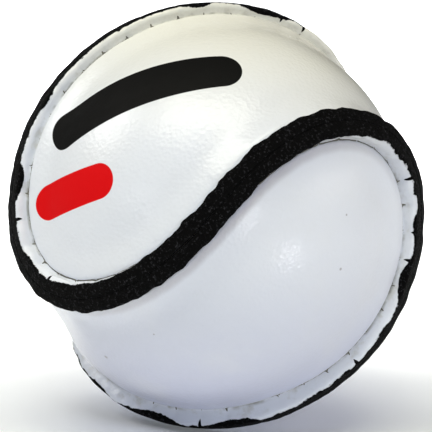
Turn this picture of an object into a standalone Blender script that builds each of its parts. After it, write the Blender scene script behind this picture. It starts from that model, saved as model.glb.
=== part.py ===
"""Hurling ball (sliotar): two leather panels sewn edge to edge round a wound cork centre.

Both panels are the same figure-of-eight piece. The edge of each is turned up into a lip, the
two lips stand side by side along one closed seam, and together they make the ball's raised
rib. Two waxed threads cross in every awl slot, as in a saddle stitch. Metres, +Z up, origin
at the centre of the ball. The pieces are modelled about the seam's own axes: +X is the axis
of the half turn that swaps the two panels. One empty then turns them into the resting pose.
"""

from math import cos, pi, radians, sin

import bmesh
import bpy
import numpy as np
from mathutils import Vector

MM = 0.001

# Driving dimensions
BALL_RADIUS = 35.0 * MM        # over the leather, away from the rib
RIB_HEIGHT = 3.4 * MM          # above BALL_RADIUS
RIB_WIDTH = 4.6 * MM           # across both lips
LEATHER = 2.2 * MM             # thickness of the panels
CLEARANCE = 0.3 * MM           # between neighbouring pieces
STITCHES = 76                  # awl slots along the seam, about 5 mm apart
THREAD_DIAMETER = 0.6 * MM
SLOT_LENGTH = 1.2 * MM         # along the seam
SKIN_THICKNESS = 0.8 * MM
OUTER_WINDING_DEPTH = 7.0 * MM
CORK_RADIUS = 16.0 * MM
YARN_OPENING = 1.2 * MM        # radius of the channel that the yarn's tail leaves open

# Seam: the weights of the harmonics that shape the closed curve on the sphere
FRONT_BIAS = 0.384
LOBE_ALONG = 0.251
LOBE_ACROSS = 0.517
NECK_REACH = 1.002
NECK_SQUARENESS = 0.096
LOBE_TIP = pi / 4              # seam parameter at the tip of a panel's first lobe

# Resting pose: half turn axis towards -Y, raised, with the seam rolled about it
SEAM_RAISE = radians(12)
SEAM_ROLL = radians(28)

# Heights of the stitching above BALL_RADIUS
LOWER_THREAD = 0.7 * MM
UPPER_THREAD = 1.5 * MM
SLOT_BOTTOM = 0.1 * MM
SLOT_TOP = 2.1 * MM

FIELD_EDGE = 6.0 * MM          # from the seam to where a panel is plain sphere
FIELD_CELL = 6.0 * MM          # mesh size on the plain sphere
LENGTH_SAMPLES = 1440          # steps for measuring along the seam
ROUND_STEPS = 24
ARC_STEPS = 10


def seam_direction(turn):
    """Unit vector from the centre to the seam, for a parameter of 0 to 2 pi."""
    front = cos(turn) - FRONT_BIAS * cos(2 * turn) + LOBE_ALONG * cos(3 * turn)
    across = sin(turn) - LOBE_ACROSS * sin(3 * turn)
    up = NECK_REACH * sin(2 * turn) - NECK_SQUARENESS * sin(6 * turn)
    return Vector((front, across, up)).normalized()


def cover_point(turn, offset, radius):
    """Point at a radius, offset sideways from the seam, on the first panel's side if positive."""
    step = pi / LENGTH_SAMPLES
    out = seam_direction(turn)
    tangent = (seam_direction(turn + step) - seam_direction(turn - step)).normalized()
    side = tangent.cross(out).normalized()
    angle = offset / BALL_RADIUS
    return radius * (cos(angle) * out + sin(angle) * side)


def seam_lengths():
    """Seam parameters from 0 to 2 pi, and the length of the seam on the unit sphere up to each."""
    turns = np.linspace(0, 2 * pi, LENGTH_SAMPLES + 1)
    points = np.array([seam_direction(turn) for turn in turns])
    steps = np.linalg.norm(np.diff(points, axis=0), axis=1)
    return turns, np.concatenate([[0], np.cumsum(steps)])


def slot_stations():
    """Seam parameters of the slots' middles, and of both ends of each slot, in order."""
    turns, lengths = seam_lengths()
    middles = (np.arange(STITCHES) + 0.5) / STITCHES * lengths[-1]
    half = SLOT_LENGTH / 2 / BALL_RADIUS
    ends = np.stack([middles - half, middles + half], axis=1).ravel()
    return np.interp(middles, lengths, turns), np.interp(ends, lengths, turns)


def first_lobe_station():
    """Index of the station just past the tip of the first lobe."""
    turns, lengths = seam_lengths()
    fraction = np.interp(LOBE_TIP, turns, lengths) / lengths[-1]
    return 2 * round(fraction * STITCHES)


def panel_section():
    """Half of the rib in section: (offset, radius) from the outer field over the lip to the inner."""
    inner_radius = BALL_RADIUS - LEATHER
    wall = RIB_WIDTH / 2
    face = CLEARANCE / 2
    return [
        (FIELD_EDGE, BALL_RADIUS),
        (wall + 1.2 * MM, BALL_RADIUS - 0.2 * MM),
        (wall + 0.3 * MM, BALL_RADIUS - 0.35 * MM),
        (wall, BALL_RADIUS + SLOT_BOTTOM),
        (wall, BALL_RADIUS + SLOT_TOP),
        (wall - 0.2 * MM, BALL_RADIUS + RIB_HEIGHT - 0.2 * MM),
        (face + 0.1 * MM, BALL_RADIUS + RIB_HEIGHT),
        (face, BALL_RADIUS + SLOT_TOP),
        (face, BALL_RADIUS + SLOT_BOTTOM),
        (face + 0.3 * MM, BALL_RADIUS - 0.7 * LEATHER),
        (face + 1.3 * MM, inner_radius),
        (FIELD_EDGE, inner_radius),
    ]


SLOT_OUTER_ROW = 3             # the section's row that a slot enters by, and the one it leaves by
SLOT_INNER_ROW = 7


def zip_rows(mesh, first, second):
    """Fill between two rows of vertices, which may have different counts, with triangles."""
    i = 0
    j = 0
    while i < len(first) - 1 or j < len(second) - 1:
        next_i = (i + 1) / max(len(first) - 1, 1)
        next_j = (j + 1) / max(len(second) - 1, 1)
        if j == len(second) - 1 or (i < len(first) - 1 and next_i <= next_j):
            mesh.faces.new((first[i], first[i + 1], second[j]))
            i += 1
        else:
            mesh.faces.new((first[i], second[j + 1], second[j]))
            j += 1


def field_row(mesh, left, right, radius, at_tip):
    """Vertices along the arc between two vertices of a field's edge, ends included."""
    angle = left.co.angle(right.co)
    cells = 1 if at_tip else max(2, round(angle * radius / FIELD_CELL))
    row = [left]
    for cell in range(1, cells):
        row.append(mesh.verts.new(radius * left.co.normalized().slerp(right.co.normalized(), cell / cells)))
    row.append(right)
    return row


def add_field(mesh, ring, radius):
    """Fill a closed edge of a figure-of-eight panel with arcs from one side to the other."""
    start = first_lobe_station()
    edge = ring[start:] + ring[:start]
    count = len(edge) // 2
    rows = []
    for number in range(count):
        at_tip = number in (0, count - 1)
        rows.append(field_row(mesh, edge[number], edge[-1 - number], radius, at_tip))
    for first, second in zip(rows, rows[1:]):
        zip_rows(mesh, first, second)


def add_slot(mesh, outer, inner, station):
    """Join the openings of one awl slot, in the lip's outer wall and in its inner face."""
    start, end = station, station + 1
    mouth = [outer[0][start], outer[0][end], outer[1][end], outer[1][start]]
    exit_side = [inner[1][start], inner[1][end], inner[0][end], inner[0][start]]
    for corner in range(4):
        following = (corner + 1) % 4
        mesh.faces.new((mouth[corner], mouth[following], exit_side[following], exit_side[corner]))


def panel_mesh():
    """The closed body of one cover panel: lip, outer field, inner field and awl slots."""
    mesh = bmesh.new()
    stations = slot_stations()[1]
    rings = []
    for offset, radius in panel_section():
        rings.append([mesh.verts.new(cover_point(turn, offset, radius)) for turn in stations])
    for row, (upper, lower) in enumerate(zip(rings, rings[1:])):
        for station in range(len(stations)):
            following = (station + 1) % len(stations)
            if station % 2 == 0 and row in (SLOT_OUTER_ROW, SLOT_INNER_ROW):
                continue
            mesh.faces.new((upper[station], upper[following], lower[following], lower[station]))
    for station in range(0, len(stations), 2):
        add_slot(mesh, rings[SLOT_OUTER_ROW:SLOT_OUTER_ROW + 2],
                 rings[SLOT_INNER_ROW:SLOT_INNER_ROW + 2], station)
    add_field(mesh, rings[0], BALL_RADIUS)
    add_field(mesh, rings[-1], BALL_RADIUS - LEATHER)
    bmesh.ops.recalc_face_normals(mesh, faces=mesh.faces)
    data = bpy.data.meshes.new("cover_panel")
    mesh.to_mesh(data)
    mesh.free()
    data.shade_smooth()
    data.set_sharp_from_angle(angle=radians(35))
    return data


def add_panels(parts, pose):
    """The two panels share one mesh, and a half turn about the seam's axis swaps them."""
    data = panel_mesh()
    data.materials.append(material("white_leather", (0.83, 0.84, 0.82), 0.45))
    for name, half_turn in (("cover_panel_upper", 0), ("cover_panel_lower", pi)):
        panel = bpy.data.objects.new(name, data)
        panel.rotation_euler = (half_turn, 0, 0)
        place(panel, parts, pose)


def thread_route(height, first_side):
    """Points of a thread that crosses the rib at each slot and lies along a lip in between."""
    reach = RIB_WIDTH / 2 + CLEARANCE + THREAD_DIAMETER / 2
    route = []
    side = first_side
    for turn in slot_stations()[0]:
        route.append(cover_point(turn, side * reach, BALL_RADIUS + height))
        side = -side
        route.append(cover_point(turn, side * reach, BALL_RADIUS + height))
    return route


def add_thread(name, height, first_side, parts, pose):
    """A thread as a closed tube along its route."""
    curve = bpy.data.curves.new(name, "CURVE")
    curve.dimensions = "3D"
    curve.bevel_depth = THREAD_DIAMETER / 2
    curve.bevel_resolution = 0
    spline = curve.splines.new("POLY")
    route = thread_route(height, first_side)
    spline.points.add(len(route) - 1)
    for point, place_at in zip(spline.points, route):
        point.co = (*place_at, 1)
    spline.use_cyclic_u = True
    curve.materials.append(material("waxed_thread", (0.02, 0.02, 0.02), 0.6))
    place(bpy.data.objects.new(name, curve), parts, pose)


def add_shell(name, outer, inner, parts, pose, look):
    """A turned hollow ball with a narrow channel at its top, where the yarn's tail goes in."""
    top_outer = np.arcsin(YARN_OPENING / outer)
    top_inner = np.arcsin(YARN_OPENING / inner)
    outline = []
    for angle in np.linspace(top_outer, pi, ARC_STEPS + 1):
        outline.append((outer * sin(angle), 0, outer * cos(angle)))
    inside = []
    for angle in np.linspace(top_inner, pi, ARC_STEPS + 1):
        inside.append((inner * sin(angle), 0, inner * cos(angle)))
    chain = list(reversed(inside)) + outline
    data = bpy.data.meshes.new(name)
    data.from_pydata(chain, [(i, i + 1) for i in range(len(chain) - 1)], [])
    shell = bpy.data.objects.new(name, data)
    turned = shell.modifiers.new("turned", "SCREW")
    turned.axis = "Z"
    turned.angle = 2 * pi
    turned.steps = ROUND_STEPS
    turned.render_steps = ROUND_STEPS
    turned.use_merge_vertices = True
    turned.merge_threshold = 0.00001
    turned.use_smooth_shade = True
    data.materials.append(look)
    place(shell, parts, pose)


def add_core(parts, pose):
    """Cork centre, two windings of yarn and the latex skin, each a gap inside the next."""
    skin_outer = BALL_RADIUS - LEATHER - CLEARANCE
    skin_inner = skin_outer - SKIN_THICKNESS
    outer_winding = skin_inner - CLEARANCE
    inner_winding = outer_winding - OUTER_WINDING_DEPTH
    add_shell("latex_skin", skin_outer, skin_inner, parts, pose,
              material("cured_latex", (0.80, 0.70, 0.48), 0.5))
    add_shell("outer_winding", outer_winding, inner_winding, parts, pose,
              material("cotton_yarn", (0.78, 0.74, 0.64), 0.9))
    add_shell("inner_winding", inner_winding - CLEARANCE, CORK_RADIUS + CLEARANCE, parts, pose,
              material("wool_yarn", (0.42, 0.36, 0.30), 0.95))
    bpy.ops.mesh.primitive_uv_sphere_add(segments=ROUND_STEPS, ring_count=ARC_STEPS, radius=CORK_RADIUS)
    cork = bpy.context.active_object
    cork.name = "cork_centre"
    cork.data.name = "cork_centre"
    cork.data.shade_smooth()
    cork.data.materials.append(material("cork", (0.55, 0.38, 0.22), 0.85))
    for collection in list(cork.users_collection):
        collection.objects.unlink(cork)
    place(cork, parts, pose)


def material(name, colour, roughness):
    """A plain Principled material."""
    finish = bpy.data.materials.new(name)
    finish.use_nodes = True
    shader = finish.node_tree.nodes["Principled BSDF"]
    shader.inputs["Base Color"].default_value = (*colour, 1)
    shader.inputs["Roughness"].default_value = roughness
    shader.inputs["Metallic"].default_value = 0
    return finish


def place(piece, parts, pose):
    """Put a piece in the ball's collection and hang it on the posing empty."""
    parts.objects.link(piece)
    piece.parent = pose


def main():
    for old in list(bpy.data.objects):
        bpy.data.objects.remove(old)
    parts = bpy.data.collections.new("hurling_ball")
    bpy.context.scene.collection.children.link(parts)
    pose = bpy.data.objects.new("resting_pose", None)
    pose.rotation_mode = "ZYX"
    pose.rotation_euler = (-SEAM_RAISE, -pi / 2 - SEAM_ROLL, -pi / 2)
    parts.objects.link(pose)
    add_panels(parts, pose)
    add_thread("seam_thread_lower", LOWER_THREAD, 1, parts, pose)
    add_thread("seam_thread_upper", UPPER_THREAD, -1, parts, pose)
    add_core(parts, pose)


main()
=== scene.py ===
"""Looks of the hurling ball: leather panels with a sewn and dyed rib, waxed thread, light and camera."""

from math import cos, pi, radians, sin

import bmesh
import bpy
import numpy as np
from mathutils import Euler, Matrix, Quaternion, Vector, noise


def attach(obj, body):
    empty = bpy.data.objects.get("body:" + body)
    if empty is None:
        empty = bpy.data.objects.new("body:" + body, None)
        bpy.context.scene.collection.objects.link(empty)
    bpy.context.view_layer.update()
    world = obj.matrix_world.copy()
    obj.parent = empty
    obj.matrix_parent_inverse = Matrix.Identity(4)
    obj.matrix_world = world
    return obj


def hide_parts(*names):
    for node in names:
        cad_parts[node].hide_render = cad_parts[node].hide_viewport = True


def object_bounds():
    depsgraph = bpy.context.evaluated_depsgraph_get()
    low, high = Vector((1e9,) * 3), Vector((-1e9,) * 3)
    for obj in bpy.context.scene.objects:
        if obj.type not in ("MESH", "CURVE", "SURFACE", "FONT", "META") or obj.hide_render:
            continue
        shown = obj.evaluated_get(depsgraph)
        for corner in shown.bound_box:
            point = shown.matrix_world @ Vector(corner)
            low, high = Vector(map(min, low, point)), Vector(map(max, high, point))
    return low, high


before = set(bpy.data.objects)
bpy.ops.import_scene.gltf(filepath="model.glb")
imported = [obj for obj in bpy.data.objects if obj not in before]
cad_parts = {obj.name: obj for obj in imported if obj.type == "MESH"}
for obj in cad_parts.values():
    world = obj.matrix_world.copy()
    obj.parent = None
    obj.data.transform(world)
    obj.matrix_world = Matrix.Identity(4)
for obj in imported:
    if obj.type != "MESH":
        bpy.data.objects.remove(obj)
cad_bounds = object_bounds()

MM = 0.001

# The ball, as the CAD has it
BALL_RADIUS = 35.0 * MM
RIB_HEIGHT = 3.4 * MM
RIB_WIDTH = 4.6 * MM
LEATHER = 2.2 * MM
STITCHES = 76
FRONT_BIAS = 0.384
LOBE_ALONG = 0.251
LOBE_ACROSS = 0.517
NECK_REACH = 1.002
NECK_SQUARENESS = 0.096
LOBE_TIP = pi / 4
POSE = Euler((-radians(12), -pi / 2 - radians(28), -pi / 2), "ZYX").to_matrix()

# Mesh density
STATIONS_PER_STITCH = 10
FIELD_EDGE = 8.0 * MM           # from the seam to where a panel's field begins
FIELD_CELL = 1.3 * MM
INSIDE_CELL = 6.0 * MM
LENGTH_SAMPLES = 4000

# How far hand sewing leaves the rib from a clean section
SCALLOP = 0.16 * MM             # the lips bulge between stitches
EDGE_WANDER = 0.26 * MM         # the cut edge runs in and out
CRUMPLE = 0.10 * MM             # small folds of the lip's wall
PUCKER = 0.24 * MM              # the thread pulls the wall in at each stitch
PUCKER_REACH = 0.55 * MM        # along the seam
DIMPLE = 0.10 * MM              # how far a stitch draws down the panel beside the rib
DIMPLE_REACH = 1.3 * MM
LIP_MIDDLE = 0.9 * MM           # from the seam: rows past this are on a lip's outside
SLOT_HEIGHT = 0.9 * MM          # where the thread goes through the lips
SLOT_INFLUENCE = 1.2 * MM       # up and down the wall from there
TOP_LUMPS = 0.16 * MM
TOP_NAP = 0.07 * MM
UNDULATION = 0.12 * MM          # soft dents of the panels

# Places where a panel lies lower than the sphere: (azimuth, elevation), angular reach, depth
HOLLOWS = (
    ((-66, -29), 10, 1.3 * MM),
    ((-84, -33), 11, 1.5 * MM),
    ((-103, -35), 11, 1.5 * MM),
)
DEEPEST_HOLLOW = 1.6 * MM

# Runs of dye down the wall: seam parameter and half length in degrees, depth in mm, upper panel or not
DYE_RUNS = (
    (56, 2.0, 1.4, True),
    (69, 2.5, 0.6, True),
    (108, 3.0, 0.7, True),
    (117, 3.0, 1.0, True),
    (-61, 2.0, 1.9, False),
    (-108, 3.5, 1.1, False),
    (-119, 3.0, 1.3, False),
    (-128, 2.0, 0.7, False),
)

# Layers inside, from their outer to their inner radius, as the CAD has them
LATEX = (32.5 * MM, 31.7 * MM)
COTTON = (31.4 * MM, 24.4 * MM)
WOOL = (24.1 * MM, 16.3 * MM)
CORK_RADIUS = 16.0 * MM
COTTON_STRAND = 1.6 * MM
WOOL_STRAND = 2.4 * MM
TURNS_EACH_WAY = 3              # turns of yarn beside the middle one, before the winder changes direction
WINDINGS = 34                   # directions wound over one another
WOUND_SHARE = 0.35              # how deep the yarn's surface is, against a strand's width
BRUSH_MARKS = 0.06 * MM         # on the latex
CORK_LUMPS = 0.05 * MM
CORK_PITS = 0.45 * MM
FINE_BALL = 7                   # icosphere subdivisions
SMOOTH_BALL = 6
HIDDEN_BALL = 5

THREAD_RADIUS = 0.2 * MM
THREAD_SIDES = 8
PLY_TWIST = 2.2                 # radians of twist for each thread diameter of length

# Camera: direction from the ball and roll in degrees, distance and lens
VIEW_AZIMUTH = -0.9
VIEW_ELEVATION = 9.8
VIEW_ROLL = 0.3
VIEW_DISTANCE = 0.4377
LENS_MM = 202.0
SENSOR_MM = 36.0
FRAME_SHIFT = (0.002, -0.0005)

CREASE_OFFSET = 2.4             # of the crease from the seam, in mm as the attributes have it
INK_SOFTNESS = 0.002            # radians over which the ink's edge fades

FLOOR_GLOW = 0.12               # the floor is a dim light table
FLOOR_GAP = 0.2 * MM            # below the CAD, for what the finer rib adds

# Colours
LEATHER_WHITE = (0.785, 0.815, 0.885)
# Painted light on the leather: a warm tint for light falling on the top, and a darker cool colour for shade
# below
LEATHER_WARM_TOP_LIGHT = (0.83, 0.825, 0.75)
LEATHER_PAINTED_SHADE = (0.585, 0.605, 0.745)
LEATHER_MOTTLE = (0.78, 0.79, 0.80)
LEATHER_FLESH = (0.62, 0.52, 0.40)
SPECK_GREY = (0.30, 0.28, 0.30)
WALL_DUST = (0.46, 0.44, 0.37)
# painted shade in the crease at the rib's foot
CREASE_PAINTED_SHADE = (0.20, 0.19, 0.155)
# painted shadow that the rib casts onto the lower panel
RIB_PAINTED_SHADOW = (0.42, 0.40, 0.43)
DYE_BLACK = (0.0004, 0.0004, 0.0006)
DYE_WORN = (0.055, 0.055, 0.062)
INK_BLACK = (0.002, 0.002, 0.002)
INK_RED = (0.70, 0.0010, 0.003)

# Specks: azimuth and elevation in degrees, radius
SPECKS = ((37, -7.1, 0.22 * MM), (-44, -38, 0.30 * MM), (39, 8, 0.16 * MM), (-20, -26, 0.14 * MM))

# Printed bars: direction of each end, azimuth and elevation in degrees, then half width and colour
BARS = (
    ((-61, 28), (7, 55), 4.3 * MM, INK_BLACK),
    ((-57, 9), (-37, 17.5), 3.2 * MM, INK_RED),
)


# ---------------------------------------------------------------- the seam

def toward(azimuth, elevation):
    """Unit vector at an azimuth from -Y towards +X and an elevation, both in degrees."""
    turn, rise = radians(azimuth), radians(elevation)
    return Vector((sin(turn) * cos(rise), -cos(turn) * cos(rise), sin(rise)))


def unit(vectors):
    """Vectors along the last axis, each brought to length 1."""
    return vectors / np.linalg.norm(vectors, axis=-1, keepdims=True)


def seam_directions(turns):
    """Unit vectors from the centre to the seam, about the seam's own axes."""
    front = np.cos(turns) - FRONT_BIAS * np.cos(2 * turns) + LOBE_ALONG * np.cos(3 * turns)
    across = np.sin(turns) - LOBE_ACROSS * np.sin(3 * turns)
    up = NECK_REACH * np.sin(2 * turns) - NECK_SQUARENESS * np.sin(6 * turns)
    return unit(np.stack([front, across, up], axis=-1))


def seam_lengths():
    """Seam parameters from 0 to 2 pi, and the seam's length on the unit sphere up to each."""
    turns = np.linspace(0, 2 * pi, LENGTH_SAMPLES + 1)
    steps = np.linalg.norm(np.diff(seam_directions(turns), axis=0), axis=1)
    return turns, np.concatenate([[0], np.cumsum(steps)])


def seam_turns(fractions):
    """Seam parameters, from 0 to 2 pi, at fractions of the seam's length."""
    turns, lengths = seam_lengths()
    return np.interp(np.mod(fractions, 1.0) * lengths[-1], lengths, turns)


def seam_frames(fractions):
    """Outward and sideways unit vectors at fractions of the seam's length."""
    here = seam_turns(fractions)
    step = pi / LENGTH_SAMPLES
    out = seam_directions(here)
    tangent = unit(seam_directions(here + step) - seam_directions(here - step))
    return out, unit(np.cross(tangent, out))


def cover_points(out, side, offsets, heights):
    """Points at heights above the leather's sphere, offset sideways from the seam."""
    angles = (offsets / BALL_RADIUS)[..., None]
    return (BALL_RADIUS + heights)[..., None] * (np.cos(angles) * out + np.sin(angles) * side)


def posed(points, half_turn):
    """Points about the seam's axes, swapped to the other panel if asked, in the resting pose."""
    if half_turn:
        points = points * np.array([1, -1, -1])
    return points @ np.array(POSE).T


def roughness_at(points, wavelength, seed):
    """Smooth noise of about -1 to 1 at each point."""
    shift = Vector((seed * 7.3, seed * 3.1, seed * 5.7))
    flat = points.reshape(-1, 3) / wavelength
    values = [noise.noise(Vector(point) + shift) for point in flat]
    return np.array(values).reshape(points.shape[:-1])


def bell(distance, width):
    """1 at zero distance, falling smoothly to 0 past the width."""
    return np.exp(-(distance / width) ** 2)


def smooth_step(values):
    """0 below 0, 1 above 1, smooth between."""
    clipped = np.clip(values, 0, 1)
    return clipped * clipped * (3 - 2 * clipped)


def near_turn(turns, centre, width):
    """1 where the seam's parameter is at the centre, in degrees, falling smoothly to 0 past the width."""
    apart = np.mod(turns - radians(centre) + pi, 2 * pi) - pi
    return bell(apart, radians(width))


def apron_rise(turns, upper):
    """How much higher than usual a panel meets the rib."""
    if upper:
        return 0.75 * MM + 0.25 * MM * near_turn(turns, 78, 54)
    return 0.75 * MM - 1.05 * MM * near_turn(turns, -108, 28)


def rib_swell(turns):
    """How much taller than usual the rib stands."""
    return 0.75 * MM * near_turn(turns, -40, 13) + 0.55 * MM * near_turn(turns, 40, 13)


# ---------------------------------------------------------------- leather panels

def lip_section():
    """(offset, height) control points of one lip, from the outer field over the top to the inside."""
    wall = RIB_WIDTH / 2
    face = 0.02 * MM
    return np.array([
        (FIELD_EDGE, 0),
        (6.6 * MM, 0.02 * MM),
        (5.4 * MM, 0.10 * MM),
        (4.4 * MM, 0.24 * MM),
        (3.7 * MM, 0.38 * MM),
        (3.15 * MM, 0.49 * MM),
        (2.8 * MM, 0.51 * MM),
        (wall + 0.25 * MM, 0.42 * MM),
        (wall + 0.08 * MM, 0.24 * MM),
        (wall - 0.06 * MM, 0.42 * MM),
        (wall - 0.10 * MM, 0.9 * MM),
        (wall - 0.03 * MM, 1.5 * MM),
        (wall + 0.08 * MM, 2.1 * MM),
        (wall + 0.14 * MM, 2.65 * MM),
        (wall + 0.08 * MM, 3.05 * MM),
        (wall - 0.17 * MM, RIB_HEIGHT - 0.06 * MM),
        (wall - 0.55 * MM, RIB_HEIGHT),
        (wall - 1.1 * MM, RIB_HEIGHT + 0.02 * MM),
        (wall - 1.7 * MM, RIB_HEIGHT),
        (face, RIB_HEIGHT),
        (face, RIB_HEIGHT - 0.3 * MM),
        (face, 1.5 * MM),
        (face, 0),
        (face + 0.3 * MM, -0.7 * LEATHER),
        (face + 1.3 * MM, -LEATHER),
        (4.5 * MM, -LEATHER),
        (FIELD_EDGE, -LEATHER),
    ])


def cut_corners(points, times):
    """Round an open outline by cutting its corners, keeping both ends."""
    for _ in range(times):
        before, after = points[:-1], points[1:]
        cut = np.stack([0.75 * before + 0.25 * after, 0.25 * before + 0.75 * after], axis=1)
        points = np.concatenate([points[:1], cut.reshape(-1, 2)[1:-1], points[-1:]])
    return points


def stitch_places(count):
    """For each station: its fraction of the seam, its stitch, and how far through that stitch it is."""
    fractions = np.arange(count) / count
    stitch = np.floor(fractions * STITCHES).astype(int)
    return fractions, stitch, np.mod(fractions * STITCHES, 1.0)


def sewing_pull(section, climbing, stitch, along, random):
    """Changes of offset and height where a lip bulges between stitches and puckers at them."""
    pitch = seam_lengths()[1][-1] * BALL_RADIUS / STITCHES
    from_slot = (along - 0.5) * pitch
    pull = random.uniform(0.3, 1.2, STITCHES)[stitch]
    bulge = random.uniform(0.1, 1.2, STITCHES + 1)
    between = np.mod(stitch + (along > 0.5), STITCHES)
    sideways = np.outer(climbing, SCALLOP * bulge[between] * 0.5 * np.cos(2 * pi * along))
    sewn_in = bell(section[:, 1] - SLOT_HEIGHT, SLOT_INFLUENCE) * climbing + 0.15 * climbing
    sideways -= np.outer(sewn_in, PUCKER * pull * bell(from_slot, PUCKER_REACH))
    beside_rib = bell(section[:, 0] - RIB_WIDTH / 2, 1.0 * MM) * (section[:, 0] > LIP_MIDDLE)
    beside_rib *= section[:, 1] > -LEATHER / 2
    return sideways, -np.outer(beside_rib, DIMPLE * pull * bell(from_slot, DIMPLE_REACH))


def raised_edge(section, turns, upper):
    """Change of height where a panel is raised against the rib, and where the rib swells."""
    lifted = np.clip((2.6 * MM - section[:, 1]) / (2.0 * MM), 0, 1) * (section[:, 0] > 1.9 * MM)
    lifted *= smooth_step((FIELD_EDGE - section[:, 0]) / (5.3 * MM)) * (section[:, 1] > -LEATHER / 2)
    swollen = np.clip(section[:, 1] / RIB_HEIGHT, 0, 1) ** 2
    return np.outer(lifted, apron_rise(turns, upper)) + np.outer(swollen, rib_swell(turns))


def dye_reach(edge_line, turns, half_turn):
    """How far down the wall the dye has run at each station, in mm."""
    broad = np.clip(roughness_at(edge_line, 8 * MM, 8) - 0.12, 0, 1)
    reach = 0.04 + 1.2 * broad + 0.35 * roughness_at(edge_line, 2.4 * MM, 9)
    reach += 0.95 * near_turn(turns, 0, 24)
    if not half_turn:
        reach -= 0.45 * near_turn(turns, 85, 35)
    for centre, half_length, depth, upper in DYE_RUNS:
        if upper != half_turn:
            reach += depth * near_turn(turns, centre, half_length)
    return reach


def tick_reach(stitch, turns, random):
    """How far down the wall each stitch's dark tick shows, in mm. Most stitches show none."""
    depths = random.choice([0.9, 1.5, 2.1], STITCHES)[stitch]
    shown = random.uniform(0, 1, STITCHES)[stitch] < 0.12 + 0.75 * near_turn(turns, -53, 10)
    return np.where(shown, depths, 0)


def sewn_section(seed, half_turn):
    """One lip with hand sewing's play: section, frames, offsets and heights, and values along the seam."""
    section = cut_corners(lip_section(), 1)
    count = STITCHES * STATIONS_PER_STITCH
    fractions, stitch, along = stitch_places(count)
    turns = seam_turns(fractions) * (-1 if half_turn else 1)
    out, side = seam_frames(fractions)
    random = np.random.default_rng(seed)
    climbing = np.clip((section[:, 1] + 0.5 * MM) / (2.5 * MM), 0, 1) * (section[:, 0] > LIP_MIDDLE)
    on_top = np.clip((section[:, 1] - 2.4 * MM) / (0.8 * MM), 0, 1)
    on_wall = climbing * (section[:, 1] < 3.2 * MM)
    sideways, upwards = sewing_pull(section, climbing, stitch, along, random)
    offset = section[:, 0:1] + sideways
    height = section[:, 1:2] + upwards + raised_edge(section, turns, not half_turn)
    middle = posed(cover_points(out, side, np.zeros(count), np.zeros(count)), half_turn)
    edge_line = posed(cover_points(out, side, np.full(count, RIB_WIDTH / 2), np.zeros(count)), half_turn)
    offset += np.outer(climbing, EDGE_WANDER * roughness_at(edge_line, 3.4 * MM, 3))
    offset += np.outer(climbing, 0.6 * EDGE_WANDER * roughness_at(edge_line, 1.3 * MM, 6))
    height += np.outer(on_top, TOP_LUMPS * roughness_at(middle, 6 * MM, 1))
    fine = roughness_at(posed(cover_points(out[None], side[None], offset, height), half_turn), 1.1 * MM, 4)
    height += on_top[:, None] * TOP_NAP * fine
    offset += on_wall[:, None] * CRUMPLE * fine
    return section, out, side, offset, height, {
        "dye_reach": dye_reach(edge_line, turns, half_turn),
        # painted shade in the crease, faded out around seam parameter 0
        "crease_shade": 1 - near_turn(turns, 0, 30),
        # painted shadow beside the rib, on the lower panel only, around seam parameter 0
        "rib_shadow": near_turn(turns, 0, 38) * half_turn,
        "tick_reach": tick_reach(stitch, turns, random),
        "stitch_cos": np.cos(2 * pi * along),
        "stitch_sin": np.sin(2 * pi * along),
    }


def zip_rows(faces, first, second):
    """Fill between two rows of vertex numbers, which may have different counts, with triangles."""
    i = 0
    j = 0
    while i < len(first) - 1 or j < len(second) - 1:
        next_i = (i + 1) / max(len(first) - 1, 1)
        next_j = (j + 1) / max(len(second) - 1, 1)
        if j == len(second) - 1 or (i < len(first) - 1 and next_i <= next_j):
            faces.append((first[i], first[i + 1], second[j]))
            i += 1
        else:
            faces.append((first[i], second[j + 1], second[j]))
            j += 1


def arc_between(start, end, cells):
    """Directions that divide the arc between two unit vectors into cells, ends left out."""
    angle = np.arccos(np.clip(start @ end, -1, 1))
    steps = np.arange(1, cells) / cells
    return (np.sin((1 - steps) * angle)[:, None] * start + np.sin(steps * angle)[:, None] * end) / sin(angle)


def fill_field(ring, directions, radius, cell, start, added, faces):
    """Cover a figure-of-eight field with rows of arcs from one side of its edge to the other."""
    edge = np.roll(np.arange(len(ring)), -start)
    count = len(edge) // 2
    rows = []
    for number in range(count):
        left, right = edge[number], edge[-1 - number]
        span = np.arccos(np.clip(directions[left] @ directions[right], -1, 1)) * radius
        cells = 1 if number in (0, count - 1) else max(2, round(span / cell))
        inner = arc_between(directions[left], directions[right], cells) * radius
        first_new = added["count"]
        added["points"].append(inner)
        added["count"] += len(inner)
        rows.append([ring[left], *range(first_new, first_new + len(inner)), ring[right]])
    for first, second in zip(rows, rows[1:]):
        zip_rows(faces, first, second)


def lobe_station(count):
    """Station nearest to the tip of the first lobe."""
    turns, lengths = seam_lengths()
    return round(float(np.interp(LOBE_TIP, turns, lengths) / lengths[-1]) * count)


def sagged(points, from_seam):
    """A panel's points, moved by its soft dents and hollows, with its inside and its rib left alone."""
    radius = np.linalg.norm(points, axis=1)
    outer = np.clip((radius - BALL_RADIUS + 1.2 * MM) / (0.6 * MM), 0, 1)
    clear_of_rib = np.clip((from_seam - RIB_WIDTH / 2) / (1.2 * MM), 0, 1)
    shift = UNDULATION * roughness_at(points, 13 * MM, 2)
    for centre, reach, depth in HOLLOWS:
        turn = np.arccos(np.clip(unit(points) @ np.array(toward(*centre)), -1, 1))
        shift -= clear_of_rib * depth * bell(turn, radians(reach))
    shift = np.maximum(shift, -DEEPEST_HOLLOW)
    return points + (outer * shift)[:, None] * unit(points)


def store_rows(mesh, name, row_values, count, beyond):
    """Store one value for each row of the lip, and another for the fields beyond it."""
    filled = np.full(len(mesh.vertices), beyond, float)
    filled[:len(row_values) * count] = np.repeat(row_values, count)
    add_attribute(mesh, name, filled)


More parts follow.
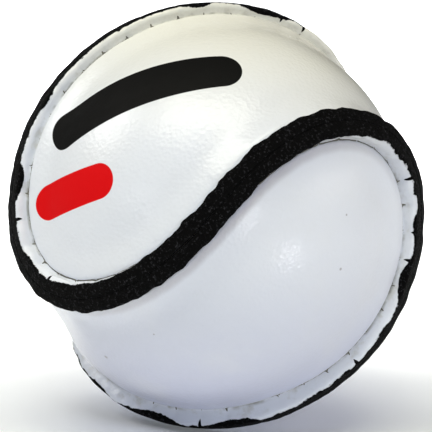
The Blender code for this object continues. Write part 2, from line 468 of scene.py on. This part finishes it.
def store_stations(mesh, name, station_values, rows):
    """Store one value for each station of the lip, and 0 for the fields beyond it."""
    filled = np.zeros(len(mesh.vertices))
    filled[:rows * len(station_values)] = np.tile(station_values, rows)
    add_attribute(mesh, name, filled)


def store_flesh_side(mesh, section, count, outer_end):
    """Mark the unfinished side of the leather: the lip's inner rows and the inner field."""
    inside = np.zeros(len(mesh.vertices))
    inside[:len(section) * count] = np.repeat(section[:, 1] < -0.9 * MM, count)
    inside[outer_end:] = 1
    add_attribute(mesh, "flesh_side", inside)


def panel_mesh(name, half_turn, seed):
    """One cover panel: sewn lip, outer field and inner field, with the attributes its look reads."""
    section, out, side, offset, height, along_seam = sewn_section(seed, half_turn)
    rows, count = offset.shape
    strip = cover_points(out[None], side[None], offset, height)
    numbers = np.arange(rows * count).reshape(rows, count)
    faces = []
    for row, next_row in zip(numbers, numbers[1:]):
        faces.extend(zip(row.tolist(), np.roll(row, -1).tolist(),
                         np.roll(next_row, -1).tolist(), next_row.tolist()))
    added = {"points": [], "count": rows * count}
    start = lobe_station(count)
    fill_field(numbers[0].tolist(), unit(strip[0]), BALL_RADIUS, FIELD_CELL, start, added, faces)
    outer_end = added["count"]
    within = BALL_RADIUS - LEATHER
    fill_field(numbers[-1].tolist(), unit(strip[-1]), within, INSIDE_CELL, start, added, faces)
    points = posed(np.concatenate([strip.reshape(-1, 3), *added["points"]]), half_turn)
    from_seam = np.full(len(points), FIELD_EDGE)
    from_seam[:rows * count] = np.repeat(section[:, 0], count)
    mesh = bpy.data.meshes.new(name)
    mesh.from_pydata(sagged(points, from_seam).tolist(), [], faces)
    from_top = RIB_HEIGHT - section[:, 1] + np.minimum(section[:, 0] - 2.0 * MM, 0)
    store_rows(mesh, "edge_drop", from_top / MM, count, RIB_HEIGHT / MM + 5)
    store_rows(mesh, "seam_offset", section[:, 0] / MM, count, FIELD_EDGE / MM + 2)
    for key, station_values in along_seam.items():
        store_stations(mesh, key, station_values, rows)
    store_flesh_side(mesh, section, count, outer_end)
    finish_mesh(mesh)
    return mesh


def add_attribute(mesh, name, values):
    """Store one number for each vertex under a name that a material can read."""
    attribute = mesh.attributes.new(name, "FLOAT", "POINT")
    attribute.data.foreach_set("value", np.asarray(values, np.float32))


def finish_mesh(mesh):
    """Turn all faces outwards and shade them smooth."""
    shaped = bmesh.new()
    shaped.from_mesh(mesh)
    bmesh.ops.recalc_face_normals(shaped, faces=shaped.faces)
    shaped.to_mesh(mesh)
    shaped.free()
    mesh.shade_smooth()


# ---------------------------------------------------------------- thread

def thread_knots(height, first_side):
    """Points that a thread passes: into each hole, through both lips, and along the groove."""
    wall = RIB_WIDTH / 2
    groove = (wall + 0.06 * MM, 0.17 * MM)
    hole = (wall - 0.2 * MM, 0.25 * MM)
    within = (wall - 0.9 * MM, height)
    steps = [                   # fraction of a stitch from the hole, side, offset and height
        (-0.12, 1, *groove),
        (-0.04, 1, *hole),
        (0.0, 1, *within),
        (0.0, -1, *within),
        (0.04, -1, *hole),
        (0.12, -1, *groove),
        (0.5, -1, *groove),
    ]
    fractions, offsets, heights = [], [], []
    for number in range(STITCHES):
        side = first_side if number % 2 == 0 else -first_side
        for along, across, offset, above in steps:
            fraction = (number + 0.5 + along) / STITCHES
            fractions.append(fraction)
            offsets.append(side * across * offset)
            heights.append(above + apron_rise(seam_turns(fraction), side * across > 0))
    out, side_vectors = seam_frames(np.array(fractions))
    return posed(cover_points(out, side_vectors, np.array(offsets), np.array(heights)), False)


def smooth_loop(knots, steps):
    """A closed Catmull-Rom curve through the knots."""
    before, after, beyond = np.roll(knots, 1, 0), np.roll(knots, -1, 0), np.roll(knots, -2, 0)
    pieces = []
    for t in np.arange(steps) / steps:
        pieces.append(0.5 * (2 * knots + (after - before) * t
                             + (2 * before - 5 * knots + 4 * after - beyond) * t ** 2
                             + (3 * knots - before - 3 * after + beyond) * t ** 3))
    return np.stack(pieces, axis=1).reshape(-1, 3)


def closed_tube_faces(rings, sides):
    """Faces between rings of points that run round a closed tube."""
    faces = []
    for ring in range(rings):
        following = (ring + 1) % rings
        for number in range(sides):
            beside = (number + 1) % sides
            faces.append((ring * sides + number, ring * sides + beside,
                          following * sides + beside, following * sides + number))
    return faces


def thread_mesh(name, height, first_side):
    """A two-ply thread swept along its closed route."""
    path = smooth_loop(thread_knots(height, first_side), 4)
    count = len(path)
    tangent = unit(np.roll(path, -1, 0) - np.roll(path, 1, 0))
    across = unit(np.cross(tangent, unit(path)))
    lift = np.cross(across, tangent)
    length = np.concatenate([[0], np.cumsum(np.linalg.norm(np.diff(path, axis=0), axis=1))])
    turns = round(PLY_TWIST * length[-1] / (2 * THREAD_RADIUS) / (2 * pi))
    twist = 2 * pi * turns * np.arange(count) / count
    rings = []
    for number in range(THREAD_SIDES):
        angle = 2 * pi * number / THREAD_SIDES
        radius = THREAD_RADIUS * (0.88 + 0.14 * np.cos(2 * (angle - twist)))
        rings.append(path + radius[:, None] * (cos(angle) * across + sin(angle) * lift))
    points = np.stack(rings, axis=1).reshape(-1, 3)
    mesh = bpy.data.meshes.new(name)
    mesh.from_pydata(points.tolist(), [], closed_tube_faces(count, THREAD_SIDES))
    finish_mesh(mesh)
    return mesh


# ---------------------------------------------------------------- layers inside

def ball_mesh(name, outer, inner, fineness):
    """A ball as an icosphere, hollow when it has an inner radius."""
    shape = bmesh.new()
    bmesh.ops.create_icosphere(shape, subdivisions=fineness, radius=outer)
    if inner:
        hollow = bmesh.ops.create_icosphere(shape, subdivisions=HIDDEN_BALL, radius=inner)
        walls = {face for corner in hollow["verts"] for face in corner.link_faces}
        bmesh.ops.reverse_faces(shape, faces=list(walls))
    mesh = bpy.data.meshes.new(name)
    shape.to_mesh(mesh)
    shape.free()
    mesh.shade_smooth()
    return mesh


def lower_surface(mesh, outer, depths):
    """Move the outer surface inwards by a function's depths for its directions, and say what moved."""
    points = np.empty(len(mesh.vertices) * 3, np.float32)
    mesh.vertices.foreach_get("co", points)
    points = points.reshape(-1, 3)
    outside = np.linalg.norm(points, axis=1) > 0.999 * outer
    directions = unit(points[outside])
    points[outside] = directions * (outer - depths(directions))[:, None]
    mesh.vertices.foreach_set("co", points.ravel())
    return outside


def wound_turns(directions, radius, strand, seed):
    """For each direction, how high on a strand of wound yarn it is, 0 to 1, and that strand's tone."""
    chance = np.random.default_rng(seed)
    rise = np.full(len(directions), 0.4)
    tone = np.full(len(directions), 0.5)
    for axis in unit(chance.normal(size=(WINDINGS, 3))):
        level = directions @ axis * radius
        for turn in range(-TURNS_EACH_WAY, TURNS_EACH_WAY + 1):
            across = (level / strand - turn) * 2
            under = np.abs(across) < 1
            crest = np.sqrt(1 - across[under] ** 2)
            rise[under] = 0.3 * rise[under] + 0.7 * crest
            tone[under] = chance.random()
    return rise, tone


def wound_mesh(name, layer, strand, seed):
    """A hollow ball of yarn, wound turn beside turn in changing directions."""
    outer, inner = layer
    mesh = ball_mesh(name, outer, inner, FINE_BALL)
    shown = {}

    def depths(directions):
        shown["rise"], shown["tone"] = wound_turns(directions, outer, strand, seed)
        return WOUND_SHARE * strand * (1 - shown["rise"])

    outside = lower_surface(mesh, outer, depths)
    for key, plain in (("rise", 0.2), ("tone", 0.5)):
        values = np.full(len(outside), plain)
        values[outside] = shown[key]
        add_attribute(mesh, "strand_" + key, values)
    return mesh


def brushed_mesh(name):
    """The thin latex skin, a little lumpy where it was brushed over the yarn."""
    outer, inner = LATEX
    mesh = ball_mesh(name, outer, inner, SMOOTH_BALL)

    def depths(directions):
        return BRUSH_MARKS * (1 + roughness_at(directions * outer, 3.5 * MM, 3))

    lower_surface(mesh, outer, depths)
    return mesh


def cork_mesh(name):
    """The cork ball, with the pits that turning leaves where it crosses pores."""
    mesh = ball_mesh(name, CORK_RADIUS, 0, SMOOTH_BALL)

    def depths(directions):
        lumps = roughness_at(directions * CORK_RADIUS, 2.2 * MM, 5)
        pits = smooth_step((roughness_at(directions * CORK_RADIUS, 1.3 * MM, 8) - 0.22) / 0.15)
        return CORK_LUMPS * (1 + lumps) + CORK_PITS * pits

    lower_surface(mesh, CORK_RADIUS, depths)
    return mesh


# ---------------------------------------------------------------- materials

class Look:
    """A node material under construction, with short calls for the nodes it uses."""

    def __init__(self, name):
        self.material = bpy.data.materials.new(name)
        self.material.use_nodes = True
        self.nodes = self.material.node_tree.nodes
        self.links = self.material.node_tree.links
        self.shader = self.nodes["Principled BSDF"]
        self.place = self.nodes.new("ShaderNodeTexCoord").outputs["Object"]

    def set(self, **values):
        for name, value in values.items():
            self.shader.inputs[name.replace("_", " ")].default_value = value

    def feed(self, socket, source):
        if isinstance(source, (int, float)):
            socket.default_value = source
        elif isinstance(source, tuple):
            socket.default_value = (*source, 1) if len(socket.default_value) == 4 else source
        else:
            self.links.new(source, socket)

    def math(self, operation, *values, clamp=False):
        node = self.nodes.new("ShaderNodeMath")
        node.operation = operation
        node.use_clamp = clamp
        for socket, value in zip(node.inputs, values):
            self.feed(socket, value)
        return node.outputs[0]

    def plus(self, first, second):
        return self.math("ADD", first, second)

    def minus(self, first, second):
        return self.math("SUBTRACT", first, second)

    def times(self, first, second):
        return self.math("MULTIPLY", first, second)

    def more(self, first, second):
        return self.math("MAXIMUM", first, second)

    def dot(self, vector, fixed):
        node = self.nodes.new("ShaderNodeVectorMath")
        node.operation = "DOT_PRODUCT"
        self.feed(node.inputs[0], vector)
        self.feed(node.inputs[1], tuple(fixed))
        return node.outputs["Value"]

    def ramp(self, value, low, high):
        """0 below low, 1 above high, smooth between."""
        node = self.nodes.new("ShaderNodeMapRange")
        node.interpolation_type = "SMOOTHSTEP"
        self.feed(node.inputs["Value"], value)
        node.inputs["From Min"].default_value = low
        node.inputs["From Max"].default_value = high
        return node.outputs["Result"]

    def mix(self, factor, first, second):
        node = self.nodes.new("ShaderNodeMix")
        node.data_type = "RGBA"
        self.feed(node.inputs["Factor"], factor)
        self.feed(node.inputs[6], first)
        self.feed(node.inputs[7], second)
        return node.outputs[2]

    def noise(self, size, detail=3.0, roughness=0.55):
        """Noise of 0 to 1 whose features have this size in metres."""
        node = self.nodes.new("ShaderNodeTexNoise")
        self.feed(node.inputs["Vector"], self.place)
        node.inputs["Scale"].default_value = 1 / size
        node.inputs["Detail"].default_value = detail
        node.inputs["Roughness"].default_value = roughness
        return node.outputs["Fac"]

    def cells(self, size):
        """Distance from the middle of cells of this size in metres."""
        node = self.nodes.new("ShaderNodeTexVoronoi")
        self.feed(node.inputs["Vector"], self.place)
        node.inputs["Scale"].default_value = 1 / size
        return node.outputs["Distance"]

    def vertex(self, name):
        node = self.nodes.new("ShaderNodeAttribute")
        node.attribute_name = name
        return node.outputs["Fac"]

    def bump(self, height, distance, strength, onto=None):
        node = self.nodes.new("ShaderNodeBump")
        node.inputs["Strength"].default_value = strength
        node.inputs["Distance"].default_value = distance
        self.feed(node.inputs["Height"], height)
        if onto is not None:
            self.feed(node.inputs["Normal"], onto)
        return node.outputs["Normal"]

    def finish(self, colour, roughness, normal):
        self.feed(self.shader.inputs["Base Color"], colour)
        self.feed(self.shader.inputs["Roughness"], roughness)
        self.feed(self.shader.inputs["Normal"], normal)
        return self.material


def bar_mask(look, start, end, half_width):
    """1 inside a straight round-ended bar printed on the sphere between two directions."""
    middle = (start + end).normalized()
    along = (end - start).normalized()
    facing = look.dot(look.place, middle)
    depth = look.more(facing, 0.2 * BALL_RADIUS)
    u = look.math("DIVIDE", look.dot(look.place, along), depth)
    v = look.math("DIVIDE", look.dot(look.place, middle.cross(along)), depth)
    past = look.more(look.minus(look.math("ABSOLUTE", u), (end - start).length / 2), 0.0)
    distance = look.math("SQRT", look.plus(look.math("POWER", past, 2.0), look.math("POWER", v, 2.0)))
    edge = half_width / BALL_RADIUS
    this_side = look.ramp(facing, 0.3 * BALL_RADIUS, 0.4 * BALL_RADIUS)
    return look.times(look.ramp(distance, edge + INK_SOFTNESS, edge - INK_SOFTNESS), this_side)


def speck_mask(look, azimuth, elevation, radius):
    """1 inside a small round speck on the sphere."""
    length = look.nodes.new("ShaderNodeVectorMath")
    length.operation = "LENGTH"
    look.feed(length.inputs[0], look.place)
    facing = look.math("DIVIDE", look.dot(look.place, toward(azimuth, elevation)), length.outputs["Value"])
    return look.ramp(facing, cos(1.5 * radius / BALL_RADIUS), cos(0.6 * radius / BALL_RADIUS))


def dyed_mask(look, drop):
    """1 on the dyed top of the rib, down to a ragged edge, and on the ticks of stitching."""
    phase = look.math("ARCTAN2", look.vertex("stitch_sin"), look.times(look.vertex("stitch_cos"), -1.0))
    from_stitch = look.math("ABSOLUTE", phase)
    narrow = look.math("SUBTRACT", 1.0, look.math("DIVIDE", from_stitch, 0.42), clamp=True)
    tick = look.times(look.math("POWER", narrow, 0.6), look.vertex("tick_reach"))
    ragged = look.times(look.minus(look.noise(0.9 * MM, 4.0, 0.65), 0.5), 0.8)
    reach = look.plus(look.more(look.vertex("dye_reach"), tick), ragged)
    return look.ramp(look.minus(reach, drop), -0.05, 0.05)


def clean_leather(look, offset):
    """White leather with painted warm light towards the top and painted shade below, faintly mottled and
    with a few specks.
    """
    # painted warm light: creamier towards the top
    warm_top_light = look.ramp(look.dot(look.place, (0.15, 0.25, 0.95)), 0.2 * BALL_RADIUS, 1.0 * BALL_RADIUS)
    # painted shade: darker and cooler towards the bottom, on the field clear of the rib
    low = look.ramp(look.dot(look.place, (0, 0, -1)), 0.0, 0.9 * BALL_RADIUS)
    low = look.times(low, look.ramp(offset, 2.4, 3.4))
    white = look.mix(low, look.mix(warm_top_light, LEATHER_WHITE, LEATHER_WARM_TOP_LIGHT), LEATHER_PAINTED_SHADE)
    patches = look.ramp(look.noise(14 * MM, 3.0), 0.45, 0.75)
    mottled = look.mix(look.times(patches, 0.25), white, LEATHER_MOTTLE)
    for azimuth, elevation, radius in SPECKS:
        speck = look.times(speck_mask(look, azimuth, elevation, radius), 0.6)
        mottled = look.mix(speck, mottled, SPECK_GREY)
    return mottled


def dusty_and_shaded_leather(look, clean, offset, drop):
    """Clean leather with dust on the rib's wall, painted shade in the crease and a painted shadow beside the
    rib.
    """
    on_wall = look.times(look.ramp(offset, 3.0, 2.2), look.ramp(drop, 0.4, 1.5))
    smudged = look.times(look.ramp(look.noise(3.0 * MM, 4.0, 0.6), 0.50, 0.72), 0.45)
    dusty = look.mix(look.times(on_wall, smudged), clean, WALL_DUST)
    # painted shade: a broken dark line along the crease at the rib's foot
    wander = look.times(look.minus(look.noise(1.6 * MM, 2.0), 0.5), 0.5)
    from_crease = look.math("ABSOLUTE", look.minus(look.plus(offset, wander), CREASE_OFFSET))
    in_crease = look.times(look.ramp(from_crease, 0.35, 0.05), look.ramp(drop, 2.3, 2.9))
    broken = look.times(look.ramp(look.noise(4.5 * MM, 2.0), 0.46, 0.60), 0.7)
    crease_shade = look.times(look.times(in_crease, broken), look.vertex("crease_shade"))
    crease_shaded = look.mix(crease_shade, dusty, CREASE_PAINTED_SHADE)
    # painted shadow: a grey strip beside the rib where it shades the lower panel
    rib_shadow = look.times(look.ramp(offset, 4.7, 3.5), look.vertex("rib_shadow"))
    return look.mix(look.times(rib_shadow, 0.52), crease_shaded, RIB_PAINTED_SHADOW)


def printed_leather(look, colour):
    """The leather's colour with the two bars over it, and where they are."""
    ink = 0.0
    for start, end, half_width, ink_colour in BARS:
        bar = bar_mask(look, toward(*start), toward(*end), half_width)
        colour = look.mix(bar, colour, ink_colour)
        ink = look.more(ink, bar)
    return colour, ink


def leather_look(name, printed):
    """Glazed white leather with a matt black rib and, if asked, the printed bars."""
    look = Look(name)
    look.set(Specular_IOR_Level=0.10, Coat_Roughness=0.16)
    drop = look.vertex("edge_drop")
    offset = look.vertex("seam_offset")
    inside = look.vertex("flesh_side")
    dyed = dyed_mask(look, drop)
    soiled = dusty_and_shaded_leather(look, clean_leather(look, offset), offset, drop)
    speckle = look.times(look.ramp(look.noise(0.5 * MM, 3.0, 0.7), 0.54, 0.70), 0.6)
    colour = look.mix(dyed, soiled, look.mix(speckle, DYE_BLACK, DYE_WORN))
    ink = 0.0
    if printed:
        colour, ink = printed_leather(look, colour)
    colour = look.mix(inside, colour, LEATHER_FLESH)
    rough = look.plus(0.24, look.times(look.noise(2.5 * MM), 0.16))
    rough = look.plus(rough, look.times(dyed, 0.55))
    rough = look.math("ADD", rough, look.times(ink, 0.30), clamp=True)
    grain = look.plus(look.cells(0.7 * MM), look.times(look.noise(0.5 * MM), 0.9))
    under_ink = look.minus(1.0, look.times(ink, 0.7))
    skin = look.bump(look.times(grain, under_ink), 0.05 * MM, 0.9)
    suede = look.times(look.plus(look.noise(0.28 * MM, 5.0, 0.7), look.noise(1.1 * MM)), dyed)
    bare = look.more(dyed, look.more(ink, inside))
    look.feed(look.shader.inputs["Coat Weight"], look.times(look.minus(1.0, bare), 0.65))
    look.feed(look.shader.inputs["Coat Normal"], skin)
    return look.finish(colour, rough, look.bump(suede, 0.5 * MM, 1.0, skin))


def thread_look():
    """Dark waxed linen."""
    look = Look("waxed_linen_thread")
    look.set(Specular_IOR_Level=0.35)
    shade = look.mix(look.noise(0.8 * MM, 4.0), (0.07, 0.068, 0.055), (0.20, 0.19, 0.15))
    rough = look.plus(0.5, look.times(look.noise(0.5 * MM), 0.2))
    fibres = look.bump(look.noise(0.12 * MM, 4.0, 0.7), 0.05 * MM, 0.7)
    return look.finish(shade, rough, fibres)


def yarn_look(name, dark, light, strand):
    """Wound yarn, with a tone for each turn, a soft nap and painted shade between the turns."""
    look = Look(name)
    look.set(Specular_IOR_Level=0.15, Sheen_Weight=0.25, Sheen_Roughness=0.6)
    fuzz = look.noise(0.15 * strand, 4.0, 0.7)
    tone = look.plus(look.times(look.vertex("strand_tone"), 0.5), look.times(fuzz, 0.5))
    # painted shade: darker colour in the gaps between the turns
    between = tuple(0.3 * level for level in dark)
    raised = look.ramp(look.vertex("strand_rise"), 0.10, 0.65)
    colour = look.mix(raised, between, look.mix(tone, dark, light))
    rough = look.plus(0.8, look.times(fuzz, 0.15))
    return look.finish(colour, rough, look.bump(fuzz, 0.12 * strand, 0.8))


def latex_look():
    """Brushed-on latex, a little uneven in thickness and colour."""
    look = Look("brushed_latex")
    look.set(Specular_IOR_Level=0.5, Subsurface_Weight=0.1, Subsurface_Scale=0.001)
    colour = look.mix(look.noise(7 * MM, 4.0), (0.72, 0.60, 0.38), (0.84, 0.76, 0.56))
    rough = look.plus(0.35, look.times(look.noise(3 * MM), 0.25))
    return look.finish(colour, rough, look.bump(look.noise(2.2 * MM, 4.0), 0.3 * MM, 0.5))


def cork_look():
    """Turned natural cork with its dark pores."""
    look = Look("turned_cork")
    pores = look.ramp(look.cells(2.4 * MM), 0.14, 0.05)
    base = look.mix(look.noise(1.3 * MM, 5.0, 0.65), (0.36, 0.22, 0.11), (0.62, 0.43, 0.25))
    colour = look.mix(look.times(pores, 0.8), base, (0.10, 0.055, 0.03))
    rough = look.plus(0.75, look.times(pores, 0.2))
    return look.finish(colour, rough, look.bump(look.minus(look.noise(0.9 * MM), pores), 0.3 * MM, 0.6))


# ---------------------------------------------------------------- assembly

def add_piece(mesh, look, node):
    """A finished piece that stands for a CAD node and rides on the ball's one body."""
    piece = bpy.data.objects.new(mesh.name, mesh)
    bpy.context.scene.collection.objects.link(piece)
    mesh.materials.append(look)
    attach(piece, "root")
    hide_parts(node)


def add_cover():
    """Both leather panels and the two threads of the saddle stitch."""
    upper = panel_mesh("leather_panel_upper", False, 11)
    add_piece(upper, leather_look("printed_white_leather", True), "cover_panel_upper")
    lower = panel_mesh("leather_panel_lower", True, 23)
    add_piece(lower, leather_look("plain_white_leather", False), "cover_panel_lower")
    linen = thread_look()
    thread = thread_mesh("linen_thread_lower", 0.55 * MM, 1)
    add_piece(thread, linen, "seam_thread_lower")
    thread = thread_mesh("linen_thread_upper", 1.15 * MM, -1)
    add_piece(thread, linen, "seam_thread_upper")


def add_layers():
    """What the cover holds, from the latex inwards."""
    add_piece(brushed_mesh("brushed_latex_skin"), latex_look(), "latex_skin")
    cotton = yarn_look("fine_cotton_yarn", (0.42, 0.38, 0.30), (0.84, 0.80, 0.70), COTTON_STRAND)
    add_piece(wound_mesh("wound_cotton", COTTON, COTTON_STRAND, 31), cotton, "outer_winding")
    wool = yarn_look("thick_wool_yarn", (0.16, 0.13, 0.10), (0.50, 0.43, 0.36), WOOL_STRAND)
    add_piece(wound_mesh("wound_wool", WOOL, WOOL_STRAND, 47), wool, "inner_winding")
    add_piece(cork_mesh("turned_cork_ball"), cork_look(), "cork_centre")


def add_floor(level):
    """A wide pale floor under the ball."""
    bpy.ops.mesh.primitive_plane_add(size=8, location=(0, 0, level))
    floor = bpy.context.active_object
    floor.name = "floor"
    look = Look("pale_floor")
    colour = look.mix(look.noise(0.4, 2.0), (0.84, 0.86, 0.88), (0.87, 0.88, 0.90))
    look.set(Emission_Color=(0.90, 0.95, 1.0, 1), Emission_Strength=FLOOR_GLOW)
    floor.data.materials.append(look.finish(colour, 0.9, look.bump(look.noise(0.01, 2.0), 0.0002, 0.1)))


def add_light(name, azimuth, elevation, distance, size, power, colour, aim=(0, 0, 0)):
    """A square softbox at a direction and distance from its aim, facing it."""
    light = bpy.data.lights.new(name, "AREA")
    light.shape = "SQUARE"
    light.size = size
    light.energy = power
    light.color = colour
    holder = bpy.data.objects.new(name, light)
    direction = toward(azimuth, elevation)
    holder.location = Vector(aim) + direction * distance
    holder.rotation_euler = direction.to_track_quat("Z", "Y").to_euler()
    bpy.context.scene.collection.objects.link(holder)


def add_lights():
    """Softboxes at a bearing and height in degrees, with distance, size, power and colour."""
    add_light("overhead_left", -40, 65, 1.2, 0.55, 5.6, (1.0, 0.97, 0.81))
    add_light("overhead_right", 20, 65, 1.2, 0.55, 5.4, (1.0, 0.99, 0.83))
    add_light("key_softbox", -12, 44, 1.2, 0.35, 0.3, (0.80, 0.88, 1.0))
    add_light("left_softbox", -43, 15, 1.2, 0.10, 0.5, (0.92, 0.96, 1.0))
    add_light("left_fill", -95, 42, 1.2, 0.5, 4.4, (1.0, 0.98, 0.94))
    add_light("front_fill", 12, 14, 1.2, 0.8, 1.35, (0.36, 0.54, 1.0))
    add_light("right_fill", 75, 32, 1.2, 0.8, 2.7, (1.0, 0.90, 0.88))
    add_light("right_low_light", 38, -11, 0.15, 0.012, 0.012, (1.0, 1.0, 1.0))
    add_light("backdrop_light", 0, 37, 0.81, 0.5, 16.0, (1.0, 1.0, 1.0), aim=(0, 1.0, -0.04))


def add_world():
    """A dim, slightly cool surrounding, shown without a film curve."""
    world = bpy.data.worlds.new("studio")
    world.use_nodes = True
    background = world.node_tree.nodes["Background"]
    background.inputs["Color"].default_value = (0.9, 0.94, 1.0, 1)
    background.inputs["Strength"].default_value = 0.03
    bpy.context.scene.world = world
    bpy.context.scene.view_settings.view_transform = "Standard"


def add_camera():
    """The camera, looking at the ball's centre."""
    camera = bpy.data.cameras.new("camera")
    camera.lens = LENS_MM
    camera.sensor_width = SENSOR_MM
    camera.shift_x, camera.shift_y = FRAME_SHIFT
    camera.clip_start = 0.01
    holder = bpy.data.objects.new("camera", camera)
    direction = toward(VIEW_AZIMUTH, VIEW_ELEVATION)
    holder.location = direction * VIEW_DISTANCE
    facing = direction.to_track_quat("Z", "Y")
    facing.rotate(Quaternion(direction, radians(VIEW_ROLL)))
    holder.rotation_euler = facing.to_euler()
    bpy.context.scene.collection.objects.link(holder)
    bpy.context.scene.camera = holder


add_cover()
add_layers()
add_floor(cad_bounds[0][2] - FLOOR_GAP)
add_lights()
add_world()
add_camera()
